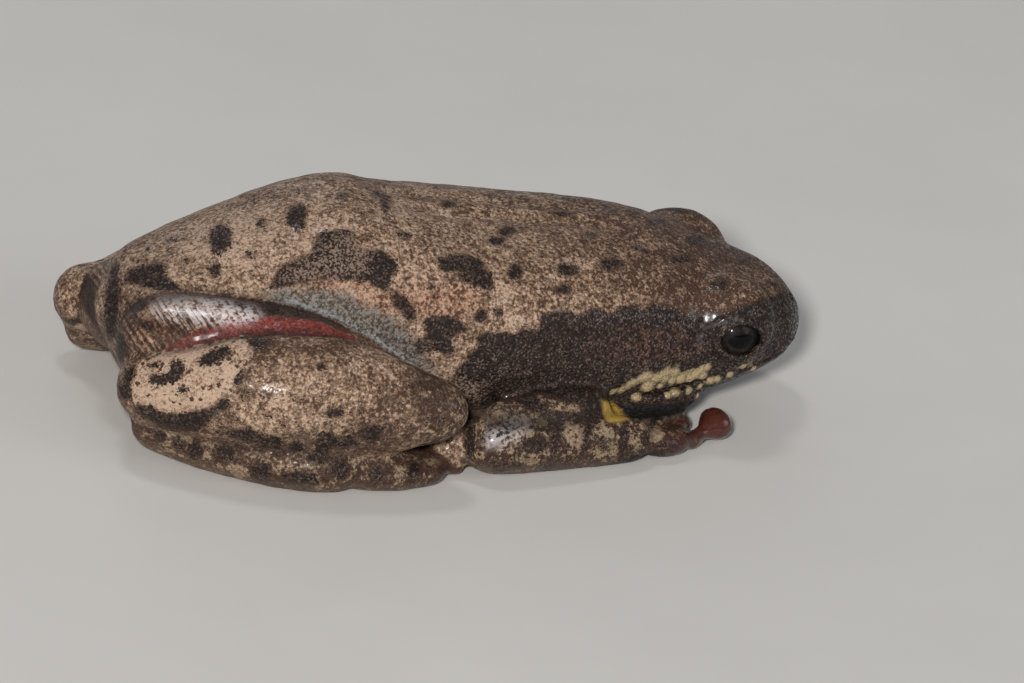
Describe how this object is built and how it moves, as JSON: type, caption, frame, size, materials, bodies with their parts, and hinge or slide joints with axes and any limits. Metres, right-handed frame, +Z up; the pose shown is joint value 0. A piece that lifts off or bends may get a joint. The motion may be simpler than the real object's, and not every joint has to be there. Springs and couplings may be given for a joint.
{
  "type": "angolan reed frog",
  "caption": "Life-size still model of a small reed frog resting flat with its legs folded in, mottled tan and brown with a dark band along the flank.",
  "frame": {"origin": "on the floor, in the middle of the flat of the belly", "axes": "+X from rump to snout, +Y towards the frog's left side, +Z up"},
  "size_m": [0.032, 0.0203, 0.0097],
  "materials": {
    "back_skin": "moist, finely granular",
    "limb_skin": "moist, finely granular",
    "digit_skin": "moist, smooth",
    "eye": "glossy"
  },
  "bodies": {
    "root": {"torso": "back_skin", "head": "back_skin", "eye_right": "eye", "upper_arm_right": "limb_skin", "forearm_right": "limb_skin", "hand_right": "digit_skin", "thigh_right": "limb_skin", "shank_right": "limb_skin", "ankle_right": "limb_skin", "foot_right": "digit_skin", "eye_left": "eye", "upper_arm_left": "limb_skin", "forearm_left": "limb_skin", "hand_left": "digit_skin", "thigh_left": "limb_skin", "shank_left": "limb_skin", "ankle_left": "limb_skin", "foot_left": "digit_skin"}
  },
  "joints": []
}
